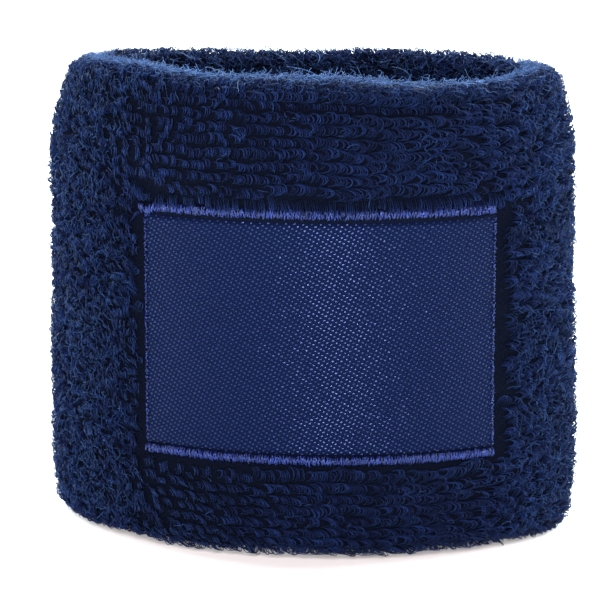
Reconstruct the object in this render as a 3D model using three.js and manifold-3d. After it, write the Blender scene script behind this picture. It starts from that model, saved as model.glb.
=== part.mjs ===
// Terry sweat wristband: a double-length knitted terry tube folded in on itself, its raw ends joined by
// a seam on the wrist side, with a woven label sewn into a bare patch of the outer layer.
// Millimetres, +Z up along the band. The label faces -Y. The origin is at the centre of the lower fold.

import * as THREE from 'three';
import { mergeVertices } from 'three/addons/utils/BufferGeometryUtils.js';
import Module from 'manifold-3d';

// Band
const BAND_HEIGHT = 60;
const PERIMETER = 172.6; // round the outside of the pile
const HALF_WIDTH = 34.1; // along X
const HALF_DEPTH = 21; // along Y
const END_ROUNDING = -0.055; // sixth harmonic of the plan: it blunts the two ends
const PLAN_STEPS = 56; // facets round the band, a multiple of four
const RING_STEPS = 40; // facets round each thin inner ring

// Wall: two terry layers with a hollow between them for the elastic yarn
const LAYER = 2.2;
const HOLLOW = 1.1;
const WALL = 2 * LAYER + HOLLOW;
const FOLD_FLAT = 1.2; // level strip along the crest of each fold
const FOLD_RADIUS = (WALL - FOLD_FLAT) / 2;
const FOLD_ARC_STEPS = 3;
const TOP_TAPER = 0.8; // how far the wall leans in at the top fold
const BOTTOM_TAPER = 0.4;
const TOP_STRAIGHT = 48; // height where the upper lean starts
const TOP_BEND = 53.5;
const BOTTOM_STRAIGHT = 9; // height where the lower lean starts

// Closing seam on the wrist side
const SEAM_HEIGHT = 22;
const SEAM_GAP = 1.8; // slit between the two raw ends
const SEAM_THREAD = 1.2;

// Woven label in its bare patch
const LABEL_WIDTH = 45.5; // along the outside of the band
const LABEL_BOTTOM = 12.65;
const LABEL_TOP = 44.2;
const LABEL_SHIFT = 3.5; // the label's centre sits this far round towards +X
const LABEL_THICK = 0.5;
const PATCH_DEPTH = 1.6;
const PATCH_MARGIN = 1.2; // bare strip between the label's edge and the pile
const LABEL_STEPS = 20;
const CLEARANCE = 0.3;
const MERGE_DISTANCE = 1e-5;

// Stitching round the label
const BORDER_BAND = 1; // width of the zigzag along the top and bottom edges
const SIDE_BAND = 0.5; // width of the straight stitch down each side
const STITCH_THICK = 0.4;
const BOBBIN_THICK = 0.4;

// Elastic yarn laid between the layers
const ELASTIC_DIAMETER = 0.5;
const ELASTIC_COUNT = 11;
const ELASTIC_PER_LABEL = 6; // pitches between the two border stitches, which fall midway between rings
const ELASTIC_BELOW = 1.5; // pitches from the lower border stitch down to the lowest ring

// Plan outline. The support function h(angle) of the outer face makes every inner face a true offset.
const MEAN_RADIUS = PERIMETER / (2 * Math.PI);
const FOURTH = (HALF_WIDTH + HALF_DEPTH) / 2 - MEAN_RADIUS;
const SECOND = (HALF_WIDTH - HALF_DEPTH) / 2 - END_ROUNDING;
const FRONT = 1.5 * Math.PI; // the direction that faces -Y

function support(angle) {
  return MEAN_RADIUS + SECOND * Math.cos(2 * angle) + FOURTH * Math.cos(4 * angle)
    + END_ROUNDING * Math.cos(6 * angle);
}

function supportSlope(angle) {
  return -2 * SECOND * Math.sin(2 * angle) - 4 * FOURTH * Math.sin(4 * angle)
    - 6 * END_ROUNDING * Math.sin(6 * angle);
}

function planPoint(angle, depth) {
  const reach = support(angle) - depth;
  const slide = supportSlope(angle);
  return [
    reach * Math.cos(angle) - slide * Math.sin(angle),
    reach * Math.sin(angle) + slide * Math.cos(angle),
  ];
}

// Distance round the outer face from angle 0, the integral of the outline's radius of curvature.
function arcLength(angle) {
  return MEAN_RADIUS * angle - (3 / 2) * SECOND * Math.sin(2 * angle)
    - (15 / 4) * FOURTH * Math.sin(4 * angle) - (35 / 6) * END_ROUNDING * Math.sin(6 * angle);
}

function angleAt(length) {
  let low = (length / PERIMETER - 0.25) * 2 * Math.PI;
  let high = low + Math.PI;
  for (let i = 0; i < 50; i += 1) {
    const middle = (low + high) / 2;
    if (arcLength(middle) < length) {
      low = middle;
    } else {
      high = middle;
    }
  }
  return (low + high) / 2;
}

function anglesRound(steps) {
  return Array.from({ length: steps }, (_, i) => angleAt((i / steps) * PERIMETER));
}

function anglesAcross(centre, width, steps) {
  const start = centre - width / 2;
  return Array.from({ length: steps + 1 }, (_, i) => angleAt(start + (width * i) / steps));
}

// Sweeps a closed profile of [depth, height] points round the plan. The profile runs anticlockwise seen
// with depth to the left, which is from the lower outer corner up the outer face. An open sweep gets a
// flat cap at each end, so its profile has to be convex.
function sweep(profile, angles, closed) {
  const count = profile.length;
  const positions = [];
  for (const angle of angles) {
    for (const [depth, height] of profile) {
      const [x, y] = planPoint(angle, depth);
      positions.push(x, y, height);
    }
  }
  const indices = [];
  const spans = closed ? angles.length : angles.length - 1;
  for (let i = 0; i < spans; i += 1) {
    const here = i * count;
    const next = ((i + 1) % angles.length) * count;
    for (let j = 0; j < count; j += 1) {
      const k = (j + 1) % count;
      indices.push(here + j, next + j, next + k);
      indices.push(here + j, next + k, here + k);
    }
  }
  if (!closed) {
    const last = (angles.length - 1) * count;
    for (let j = 1; j < count - 1; j += 1) {
      indices.push(0, j, j + 1);
      indices.push(last, last + j + 1, last + j);
    }
  }
  const geometry = new THREE.BufferGeometry();
  geometry.setAttribute('position', new THREE.Float32BufferAttribute(positions, 3));
  geometry.setIndex(indices);
  return geometry;
}

function slab(outerDepth, innerDepth, bottom, top) {
  return [[outerDepth, bottom], [outerDepth, top], [innerDepth, top], [innerDepth, bottom]];
}

// How far the whole wall leans inwards at a height.
function lean(height) {
  if (height > TOP_STRAIGHT) {
    const rise = (height - TOP_STRAIGHT) / (BAND_HEIGHT - FOLD_RADIUS - TOP_STRAIGHT);
    return TOP_TAPER * Math.min(rise, 1) ** 2;
  }
  if (height < BOTTOM_STRAIGHT) {
    const drop = (BOTTOM_STRAIGHT - height) / (BOTTOM_STRAIGHT - FOLD_RADIUS);
    return BOTTOM_TAPER * Math.min(drop, 1) ** 2;
  }
  return 0;
}

// Half of a fold's rounded crest, from its vertical side to the level strip.
function foldArc(sideDepth, sideHeight, toDepth, toHeight) {
  return Array.from({ length: FOLD_ARC_STEPS + 1 }, (_, i) => {
    const turn = (i / FOLD_ARC_STEPS) * (Math.PI / 2);
    return [
      sideDepth + toDepth * FOLD_RADIUS * (1 - Math.cos(turn)),
      sideHeight + toHeight * FOLD_RADIUS * Math.sin(turn),
    ];
  });
}

function sleeveProfile() {
  const topSide = BAND_HEIGHT - FOLD_RADIUS;
  const innerTop = foldArc(TOP_TAPER + WALL, topSide, -1, 1).reverse();
  const outerBottom = foldArc(BOTTOM_TAPER, FOLD_RADIUS, 1, -1).reverse();
  const face = (depth, heights) => heights.map((height) => [lean(height) + depth, height]);
  const slitTop = SEAM_HEIGHT + SEAM_GAP / 2;
  const slitBottom = SEAM_HEIGHT - SEAM_GAP / 2;
  const hollowTop = BAND_HEIGHT - LAYER;
  const chamfer = HOLLOW / 4;
  return [
    ...outerBottom,
    ...face(0, [BOTTOM_STRAIGHT, TOP_STRAIGHT, TOP_BEND]),
    ...foldArc(TOP_TAPER, topSide, 1, 1),
    ...innerTop,
    ...face(WALL, [TOP_BEND, TOP_STRAIGHT, slitTop]),
    ...face(WALL - LAYER, [slitTop, TOP_STRAIGHT, TOP_BEND, hollowTop - chamfer]),
    [TOP_TAPER + WALL - LAYER - chamfer, hollowTop],
    [TOP_TAPER + LAYER + chamfer, hollowTop],
    ...face(LAYER, [hollowTop - chamfer, TOP_BEND, TOP_STRAIGHT, BOTTOM_STRAIGHT, LAYER + chamfer]),
    [BOTTOM_TAPER + LAYER + chamfer, LAYER],
    [BOTTOM_TAPER + WALL - LAYER - chamfer, LAYER],
    ...face(WALL - LAYER, [LAYER + chamfer, BOTTOM_STRAIGHT, slitBottom]),
    ...face(WALL, [slitBottom, BOTTOM_STRAIGHT]),
    ...foldArc(BOTTOM_TAPER + WALL, FOLD_RADIUS, -1, -1),
  ];
}

// Boolean cut
const wasm = await Module();
wasm.setup();

function toManifold(geometry) {
  const bare = geometry.clone();
  bare.deleteAttribute('normal');
  bare.deleteAttribute('uv');
  const merged = mergeVertices(bare, MERGE_DISTANCE);
  return new wasm.Manifold(new wasm.Mesh({
    numProp: 3,
    vertProperties: new Float32Array(merged.attributes.position.array),
    triVerts: new Uint32Array(merged.index.array),
  }));
}

function cut(body, tool) {
  const mesh = toManifold(body).subtract(toManifold(tool)).getMesh();
  const geometry = new THREE.BufferGeometry();
  geometry.setAttribute('position', new THREE.Float32BufferAttribute(mesh.vertProperties, 3));
  geometry.setIndex(Array.from(mesh.triVerts));
  return geometry;
}

// Materials
function material(color, roughness) {
  return new THREE.MeshStandardMaterial({ color, roughness, metalness: 0 });
}

const wristband = new THREE.Group();

function add(name, geometry, surface) {
  geometry.computeVertexNormals();
  const mesh = new THREE.Mesh(geometry, surface);
  mesh.name = name;
  wristband.add(mesh);
}

const labelCentre = arcLength(FRONT) + LABEL_SHIFT;

function onLabel(outerDepth, thickness, shift, width, bottom, top, steps) {
  const profile = slab(outerDepth, outerDepth + thickness, bottom, top);
  return sweep(profile, anglesAcross(labelCentre + shift, width, steps), false);
}

// Folded terry sleeve with the bare patch that the label is sewn into
function terrySleeve() {
  const sleeve = sweep(sleeveProfile(), anglesRound(PLAN_STEPS), true);
  const patch = onLabel(
    -PATCH_DEPTH,
    2 * PATCH_DEPTH,
    0,
    LABEL_WIDTH + 2 * PATCH_MARGIN,
    LABEL_BOTTOM - PATCH_MARGIN,
    LABEL_TOP + PATCH_MARGIN,
    LABEL_STEPS,
  );
  return cut(sleeve, patch);
}

add('terry_sleeve', terrySleeve(), material(0x14254d, 0.95));

// Overlocked seam that joins the raw ends of the tube
function closingSeam() {
  const outer = WALL - SEAM_THREAD;
  const half = SEAM_THREAD / 2;
  const profile = [
    [outer, SEAM_HEIGHT - half / 2],
    [outer, SEAM_HEIGHT + half / 2],
    [outer + half, SEAM_HEIGHT + half],
    [outer + SEAM_THREAD, SEAM_HEIGHT],
    [outer + half, SEAM_HEIGHT - half],
  ];
  return sweep(profile, anglesRound(PLAN_STEPS), true);
}

add('closing_seam_thread', closingSeam(), material(0x101d40, 0.8));

// Elastic yarn rings in the hollow between the layers
function elasticRing(height) {
  const depth = WALL / 2 + lean(height);
  const reach = ELASTIC_DIAMETER / 2;
  const profile = [[depth - reach, height], [depth, height + reach], [depth + reach, height],
    [depth, height - reach]];
  return sweep(profile, anglesRound(RING_STEPS), true);
}

const borderSpan = LABEL_TOP - LABEL_BOTTOM - BORDER_BAND;
const elasticPitch = borderSpan / ELASTIC_PER_LABEL;
const lowestElastic = LABEL_BOTTOM + BORDER_BAND / 2 - ELASTIC_BELOW * elasticPitch;
for (let i = 0; i < ELASTIC_COUNT; i += 1) {
  const name = `elastic_yarn_${String(i + 1).padStart(2, '0')}`;
  add(name, elasticRing(lowestElastic + i * elasticPitch), material(0xd8d4cc, 0.6));
}

// Woven label, held clear of the bare knit behind it
const labelDepth = PATCH_DEPTH - CLEARANCE - LABEL_THICK;
add(
  'woven_label',
  onLabel(labelDepth, LABEL_THICK, 0, LABEL_WIDTH, LABEL_BOTTOM, LABEL_TOP, LABEL_STEPS),
  material(0x24388a, 0.45),
);

// Stitching on the label's four edges
const stitchDepth = labelDepth - CLEARANCE - STITCH_THICK;
const threadLook = material(0x3240b4, 0.5);

function borderStitch(bottom) {
  return onLabel(stitchDepth, STITCH_THICK, 0, LABEL_WIDTH, bottom, bottom + BORDER_BAND, LABEL_STEPS);
}

add('label_stitch_top', borderStitch(LABEL_TOP - BORDER_BAND), threadLook);
add('label_stitch_bottom', borderStitch(LABEL_BOTTOM), threadLook);

function sideStitch(side) {
  const shift = (side * (LABEL_WIDTH - SIDE_BAND)) / 2;
  const bottom = LABEL_BOTTOM + BORDER_BAND + CLEARANCE;
  const top = LABEL_TOP - BORDER_BAND - CLEARANCE;
  return onLabel(stitchDepth, STITCH_THICK, shift, SIDE_BAND, bottom, top, 1);
}

add('label_stitch_left', sideStitch(-1), threadLook);
add('label_stitch_right', sideStitch(1), threadLook);

// Bobbin thread of the two border stitches, behind the outer layer
function bobbinThread(bottom) {
  return onLabel(LAYER + CLEARANCE, BOBBIN_THICK, 0, LABEL_WIDTH, bottom, bottom + BORDER_BAND, LABEL_STEPS);
}

add('bobbin_thread_top', bobbinThread(LABEL_TOP - BORDER_BAND), threadLook);
add('bobbin_thread_bottom', bobbinThread(LABEL_BOTTOM), threadLook);

export default wristband;
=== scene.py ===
"""Terry sweat wristband. Lengths are millimetres until a mesh is made; the scene is in metres.

s runs round the band along its outer face, 0 at the front centre and positive towards +X. q runs along the
wall's outline: from the crest of the lower fold up the outer face, over the upper fold and down the inner
face. Height is measured out of the ground knit, and depth inwards from the tips of the pile.
"""
import math

import bpy
import numpy as np
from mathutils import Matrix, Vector


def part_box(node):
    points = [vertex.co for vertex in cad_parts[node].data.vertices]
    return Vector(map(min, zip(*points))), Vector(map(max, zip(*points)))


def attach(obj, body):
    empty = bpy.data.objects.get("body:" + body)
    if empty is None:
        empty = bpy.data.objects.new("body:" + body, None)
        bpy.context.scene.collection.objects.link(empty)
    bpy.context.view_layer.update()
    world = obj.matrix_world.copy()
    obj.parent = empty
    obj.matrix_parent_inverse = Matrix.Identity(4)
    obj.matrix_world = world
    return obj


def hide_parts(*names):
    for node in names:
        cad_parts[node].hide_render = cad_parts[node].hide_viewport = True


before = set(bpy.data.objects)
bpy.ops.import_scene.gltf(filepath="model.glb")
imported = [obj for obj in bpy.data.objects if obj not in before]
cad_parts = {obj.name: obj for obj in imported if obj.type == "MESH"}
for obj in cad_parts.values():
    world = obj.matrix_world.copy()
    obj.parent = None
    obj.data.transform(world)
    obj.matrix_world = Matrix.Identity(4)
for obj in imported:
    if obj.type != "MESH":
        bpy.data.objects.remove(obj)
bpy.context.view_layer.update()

MM = 0.001
BODY = "root"
BAKE_MAP = "OFBake"  # UV map name; one cell to a strand, so that a baked map has room for each of them

# ---- camera

AIM = Vector((-1.5, 1.0, 28.8)) * MM  # the middle of the view
CAMERA_DISTANCE = 0.330  # metres from the aim
CAMERA_AZIMUTH = 0.133  # radians round from the front towards +X
CAMERA_ELEVATION = 0.213  # radians above level
LENS = 152.8
SENSOR = 36


def make_camera():
    """The main camera, just above the rim and a little to the right of the front."""
    data = bpy.data.cameras.new("main_camera")
    data.lens = LENS
    data.sensor_width = SENSOR
    camera = bpy.data.objects.new("main_camera", data)
    bpy.context.scene.collection.objects.link(camera)
    flat = CAMERA_DISTANCE * math.cos(CAMERA_ELEVATION)
    camera.location = AIM + Vector((
        flat * math.sin(CAMERA_AZIMUTH),
        -flat * math.cos(CAMERA_AZIMUTH),
        CAMERA_DISTANCE * math.sin(CAMERA_ELEVATION),
    ))
    camera.rotation_euler = (math.pi / 2 - CAMERA_ELEVATION, 0, CAMERA_AZIMUTH)
    bpy.context.scene.camera = camera


make_camera()

# ---- band outline

def cad_box(node):
    """A CAD node's lowest and highest corners in millimetres."""
    low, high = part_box(node)
    return low / MM, high / MM


sleeve_high = cad_box("terry_sleeve")[1]
BAND_HEIGHT = sleeve_high.z
HALF_WIDTH = sleeve_high.x
HALF_DEPTH = sleeve_high.y
PERIMETER = 172.6  # round the tips of the pile
MEAN_RADIUS = PERIMETER / (2 * math.pi)
# Harmonics of the plan's support function: the second makes it oval, the others blunt its two ends.
SIXTH = -0.055
FOURTH = (HALF_WIDTH + HALF_DEPTH) / 2 - MEAN_RADIUS
SECOND = (HALF_WIDTH - HALF_DEPTH) / 2 - SIXTH

LAYER = 2.2  # one thickness of terry, ground knit and pile
WALL = 5.5  # both layers and the hollow between them
PILE = 1.2  # height of the loops above the ground knit
FOLD_RADIUS = WALL / 2
TOP_TAPER = 0.8  # how far the wall leans in at the upper fold
BOTTOM_TAPER = 0.4
TOP_STRAIGHT = 48  # height where the upper lean starts
BOTTOM_STRAIGHT = 9


def arc_length(angle):
    """Length of the plan's outline up to an angle."""
    return (MEAN_RADIUS * angle - 3 / 2 * SECOND * np.sin(2 * angle)
            - 15 / 4 * FOURTH * np.sin(4 * angle) - 35 / 6 * SIXTH * np.sin(6 * angle))


TABLE_ANGLES = np.linspace(-2.5 * math.pi, 1.5 * math.pi, 8001)
TABLE_ARCS = arc_length(TABLE_ANGLES) - arc_length(-math.pi / 2)


def angle_at(s):
    """The plan's angle at arc s."""
    return np.interp(s, TABLE_ARCS, TABLE_ANGLES)


def plan(s, depth):
    """X and Y of points at arc s, a depth inside the outer face."""
    angle = angle_at(s)
    support = (MEAN_RADIUS + SECOND * np.cos(2 * angle) + FOURTH * np.cos(4 * angle)
               + SIXTH * np.cos(6 * angle)) - depth
    slope = (-2 * SECOND * np.sin(2 * angle) - 4 * FOURTH * np.sin(4 * angle)
             - 6 * SIXTH * np.sin(6 * angle))
    return (support * np.cos(angle) - slope * np.sin(angle),
            support * np.sin(angle) + slope * np.cos(angle))


def lean(z):
    """How far the wall leans inwards at a height."""
    rise = np.clip((z - TOP_STRAIGHT) / (BAND_HEIGHT - FOLD_RADIUS - TOP_STRAIGHT), 0, 1)
    drop = np.clip((BOTTOM_STRAIGHT - z) / (BOTTOM_STRAIGHT - FOLD_RADIUS), 0, 1)
    return TOP_TAPER * rise ** 2 + BOTTOM_TAPER * drop ** 2


def wall_outline():
    """Depth and height along the tips of the pile, from the lower crest round to the lower crest again."""
    quarter = np.linspace(0, math.pi / 2, 40)
    half = np.linspace(0, math.pi, 80)
    rise = np.linspace(FOLD_RADIUS, BAND_HEIGHT - FOLD_RADIUS, 400)
    low_centre = BOTTOM_TAPER + FOLD_RADIUS
    top_centre = TOP_TAPER + FOLD_RADIUS
    depth = np.concatenate([
        low_centre - FOLD_RADIUS * np.sin(quarter[:-1]),
        lean(rise),
        top_centre - FOLD_RADIUS * np.cos(half[1:-1]),
        WALL + lean(rise[::-1]),
        low_centre + FOLD_RADIUS * np.cos(quarter[1:]),
    ])
    height = np.concatenate([
        FOLD_RADIUS - FOLD_RADIUS * np.cos(quarter[:-1]),
        rise,
        BAND_HEIGHT - FOLD_RADIUS + FOLD_RADIUS * np.sin(half[1:-1]),
        rise[::-1],
        FOLD_RADIUS - FOLD_RADIUS * np.sin(quarter[1:]),
    ])
    return depth, height


LINE_DEPTH, LINE_HEIGHT = wall_outline()
LINE_Q = np.concatenate([[0], np.cumsum(np.hypot(np.diff(LINE_DEPTH), np.diff(LINE_HEIGHT)))])
OUTLINE = LINE_Q[-1]
LINE_TANGENT = np.stack([np.gradient(LINE_DEPTH, LINE_Q), np.gradient(LINE_HEIGHT, LINE_Q)])
LINE_TANGENT /= np.hypot(*LINE_TANGENT)
TOP_CREST = LINE_Q[np.argmax(LINE_HEIGHT)]


def q_outer(z):
    """The place on the outer face at a height."""
    outside = LINE_Q < TOP_CREST
    return float(np.interp(z, LINE_HEIGHT[outside], LINE_Q[outside]))


def q_inner(z):
    """The place on the inner face at a height."""
    inside = LINE_Q > TOP_CREST
    return float(np.interp(-z, -LINE_HEIGHT[inside], LINE_Q[inside]))


def height_at(q):
    """The height of a place on the outline."""
    return np.interp(np.mod(q, OUTLINE), LINE_Q, LINE_HEIGHT)


def smooth(x):
    """An even ramp from 0 at 0 to 1 at 1."""
    x = np.clip(x, 0, 1)
    return x * x * (3 - 2 * x)


def drift(seed, pitch):
    """A smooth random field from -1 to 1 over the wall, periodic round the band."""
    rows = int(OUTLINE / pitch) + 3
    columns = int(round(PERIMETER / pitch))
    grid = np.random.default_rng(seed).uniform(-1, 1, (columns, rows))

    def value(s, q):
        a = np.asarray(s) / PERIMETER * columns
        b = np.asarray(q) / pitch
        i = np.floor(a).astype(int)
        j = np.clip(np.floor(b).astype(int), 0, rows - 2)
        u, v = smooth(a - i), smooth(b - j)
        i, i2 = i % columns, (i + 1) % columns
        low = grid[i, j] * (1 - u) + grid[i2, j] * u
        high = grid[i, j + 1] * (1 - u) + grid[i2, j + 1] * u
        return low * (1 - v) + high * v

    return value


# ---- label place, from the frame

LABEL_SPREAD = 0.45  # the stitching draws the cloth out a little to each side
PATCH_MARGIN = 1.2  # bare strip between the label's edge and the pile
label_low, label_high = cad_box("woven_label")
LABEL_DEPTH = HALF_DEPTH + label_low.y
LABEL_BOTTOM = label_low.z
LABEL_TOP = label_high.z
front_arcs = np.linspace(-PERIMETER / 4, PERIMETER / 4, 2001)
front_x = plan(front_arcs, LABEL_DEPTH)[0]
LABEL_LEFT = np.interp(label_low.x, front_x, front_arcs) - LABEL_SPREAD
LABEL_RIGHT = np.interp(label_high.x, front_x, front_arcs) + LABEL_SPREAD
LABEL_MIDDLE = (LABEL_LEFT + LABEL_RIGHT) / 2
LABEL_WIDTH = LABEL_RIGHT - LABEL_LEFT
LABEL_HEIGHT = LABEL_TOP - LABEL_BOTTOM


def past_label(s, z):
    """How far a place lies past the label's sides, and past its upper and lower edges. Negative is inside."""
    return np.abs(s - LABEL_MIDDLE) - LABEL_WIDTH / 2, np.maximum(LABEL_BOTTOM - z, z - LABEL_TOP)


# ---- shape of the soft wall

lumps = drift(11, 13)
ripples = drift(12, 4.5)
LUMP = 0.28
RIPPLE = 0.12
LABEL_STIFFNESS = 0.85  # the share of the lumps that the label flattens
LABEL_HOLD = 6  # how far round the label it does so
CREASE_DEPTH = 1.2
CREASE_WIDTH = 0.8
CREASE_BELOW_RIM = 3.0
CREASE_LEFT = -14  # where it starts and ends round the band
CREASE_RIGHT = 30
CREASE_BEND = 12  # where it starts to climb towards the rim
CREASE_SLOPE = 0.1
SIDE_REACH = 14  # how far round from each narrow end its own shape carries
BELLY_HEIGHT = 11
BELLY_SPREAD = 12
LEFT_BELLY = 0.55
RIGHT_BELLY = 0.75
SHOULDER_START = 47
SHOULDER_RISE = 12
LEFT_SHOULDER = 1.7
RIGHT_SHOULDER = 1.0
RIM_RISE = 1.1  # at the front left
RIM_RISE_PLACE = -26
RIM_RISE_WIDTH = 11
RIM_DIP = 0.8  # at the front right
RIM_DIP_PLACE = 22
RIM_DIP_WIDTH = 12
RIM_FRONT_REACH = 60  # farther round, the back's wave takes over
BACK_WAVE = 0.35
BACK_WAVES = 3  # crests round the band
RIM_WAVE_START = 45  # only the wall above this height follows the rim
RIM_WAVE_RISE = 14


def label_zone(s, z):
    """1 over the label and falling to 0 a few millimetres round it."""
    across, along = past_label(s, z)
    return 1 - smooth(np.hypot(np.maximum(across, 0), np.maximum(along, 0)) / LABEL_HOLD)


def near(s, place, width):
    """1 at a place round the band, falling away over a width."""
    apart = np.mod(s - place + PERIMETER / 2, PERIMETER) - PERIMETER / 2
    return np.exp(-(apart / width) ** 2)


def side_shape(s, z):
    """How far the whole wall moves out: both ends are fuller low down and rounder at the upper corners."""
    belly = np.exp(-((z - BELLY_HEIGHT) / BELLY_SPREAD) ** 2)
    shoulder = smooth((z - SHOULDER_START) / SHOULDER_RISE) ** 2
    left = near(s, -PERIMETER / 4, SIDE_REACH) * (LEFT_BELLY * belly - LEFT_SHOULDER * shoulder)
    right = near(s, PERIMETER / 4, SIDE_REACH) * (RIGHT_BELLY * belly - RIGHT_SHOULDER * shoulder)
    return left + right


def crease(s, q, z):
    """1 along the crease that rises to the right under the rim, where the pile parts."""
    line = BAND_HEIGHT - CREASE_BELOW_RIM + CREASE_SLOPE * np.maximum(s - CREASE_BEND, 0)
    reach = smooth((s - CREASE_LEFT) / 20) * smooth((CREASE_RIGHT - s) / 6)
    return np.exp(-((z - line) / CREASE_WIDTH) ** 2) * reach * (q < TOP_CREST)


def swell(s, q, z):
    """How far the wall stands out from its plain outline: lumps in the knit and the crease under the rim."""
    outside = q < TOP_CREST
    free = np.where(outside, 1 - LABEL_STIFFNESS * label_zone(s, z), 1)
    out = (LUMP * lumps(s, q) + RIPPLE * ripples(s, q)) * free
    return out - CREASE_DEPTH * crease(s, q, z)


def rim_wave(s, z):
    """How far the upper rim rises and dips."""
    rise = RIM_RISE * near(s, RIM_RISE_PLACE, RIM_RISE_WIDTH)
    dip = RIM_DIP * near(s, RIM_DIP_PLACE, RIM_DIP_WIDTH)
    back = BACK_WAVE * np.sin(2 * math.pi * (BACK_WAVES * s / PERIMETER + 0.2))
    front_share = smooth((RIM_FRONT_REACH - np.abs(s)) / 20)
    wave = (rise - dip) * front_share + back * (1 - front_share)
    return wave * smooth((z - RIM_WAVE_START) / RIM_WAVE_RISE)


def wall_frame(s, q, height):
    """Points on the wall at a height above the ground knit, with the directions out, round and along."""
    s = np.asarray(s, float)
    q = np.mod(np.asarray(q, float), OUTLINE)
    depth = np.interp(q, LINE_Q, LINE_DEPTH)
    z = np.interp(q, LINE_Q, LINE_HEIGHT)
    tangent_d = np.interp(q, LINE_Q, LINE_TANGENT[0])
    tangent_z = np.interp(q, LINE_Q, LINE_TANGENT[1])
    out_d, out_z = -tangent_z, tangent_d
    stand = height - PILE + swell(s, q, z)
    x, y = plan(s, depth + stand * out_d - side_shape(s, z))
    angle = angle_at(s)
    cos, sin = np.cos(angle), np.sin(angle)
    points = np.stack([x, y, z + stand * out_z + rim_wave(s, z)], -1)
    out = np.stack([-out_d * cos, -out_d * sin, out_z], -1)
    round_ = np.stack([-sin, cos, np.zeros_like(sin)], -1)
    along = np.stack([-tangent_d * cos, -tangent_d * sin, tangent_z], -1)
    return points, out, round_, along


def face_points(s, z, depth):
    """Points on the outer face at a height z and a depth, following the wall's lumps."""
    s, z, depth = np.broadcast_arrays(np.asarray(s, float), z, depth)
    q = np.interp(z, LINE_HEIGHT[LINE_Q < TOP_CREST], LINE_Q[LINE_Q < TOP_CREST])
    x, y = plan(s, depth + lean(z) - swell(s, q, z) - side_shape(s, z))
    return np.stack([x, y, z + rim_wave(s, z)], -1)


# ---- meshes

def finish_mesh(name, vertices, starts, totals, corners, uv, material, attributes):
    """One visual piece from its vertices, the faces' corners, their UVs and values for each vertex."""
    mesh = bpy.data.meshes.new(name)
    mesh.vertices.add(len(vertices))
    mesh.vertices.foreach_set("co", (vertices * MM).astype(np.float32).ravel())
    mesh.loops.add(len(corners))
    mesh.loops.foreach_set("vertex_index", corners.astype(np.int32))
    mesh.polygons.add(len(starts))
    mesh.polygons.foreach_set("loop_start", starts.astype(np.int32))
    mesh.polygons.foreach_set("loop_total", totals.astype(np.int32))
    mesh.polygons.foreach_set("use_smooth", np.ones(len(starts), bool))
    layer = mesh.uv_layers.new(name=BAKE_MAP)
    layer.data.foreach_set("uv", uv.astype(np.float32).ravel())
    for key, values in attributes.items():
        attribute = mesh.attributes.new(key, "FLOAT", "POINT")
        attribute.data.foreach_set("value", values.astype(np.float32).ravel())
    mesh.update()
    mesh.validate()
    piece = bpy.data.objects.new(name, mesh)
    bpy.context.scene.collection.objects.link(piece)
    mesh.materials.append(material)
    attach(piece, BODY)
    return piece


def strand_uv(strands, points, sides):
    """UVs that give each strand a square cell of its own, round the strand in U and along it in V."""
    k = np.arange(sides)
    u_wall = np.tile((np.stack([k, k + 1, k + 1, k], -1) / sides).ravel(), points - 1)
    v_low = np.arange(points - 1) / (points - 1)
    v_high = v_low + 1 / (points - 1)
    v_wall = np.repeat(np.stack([v_low, v_low, v_high, v_high], -1), sides, axis=0).ravel()
    u_cell = np.concatenate([u_wall, np.linspace(0, 1, sides), np.linspace(0, 1, sides)])
    v_cell = np.concatenate([v_wall, np.zeros(sides), np.ones(sides)])
    cells = math.ceil(math.sqrt(strands))
    row, column = np.divmod(np.arange(strands), cells)
    u = (column[:, None] + 0.1 + 0.8 * u_cell) / cells
    v = (row[:, None] + 0.1 + 0.8 * v_cell) / cells
    return np.stack([u, v], -1).reshape(-1, 2)


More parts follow.
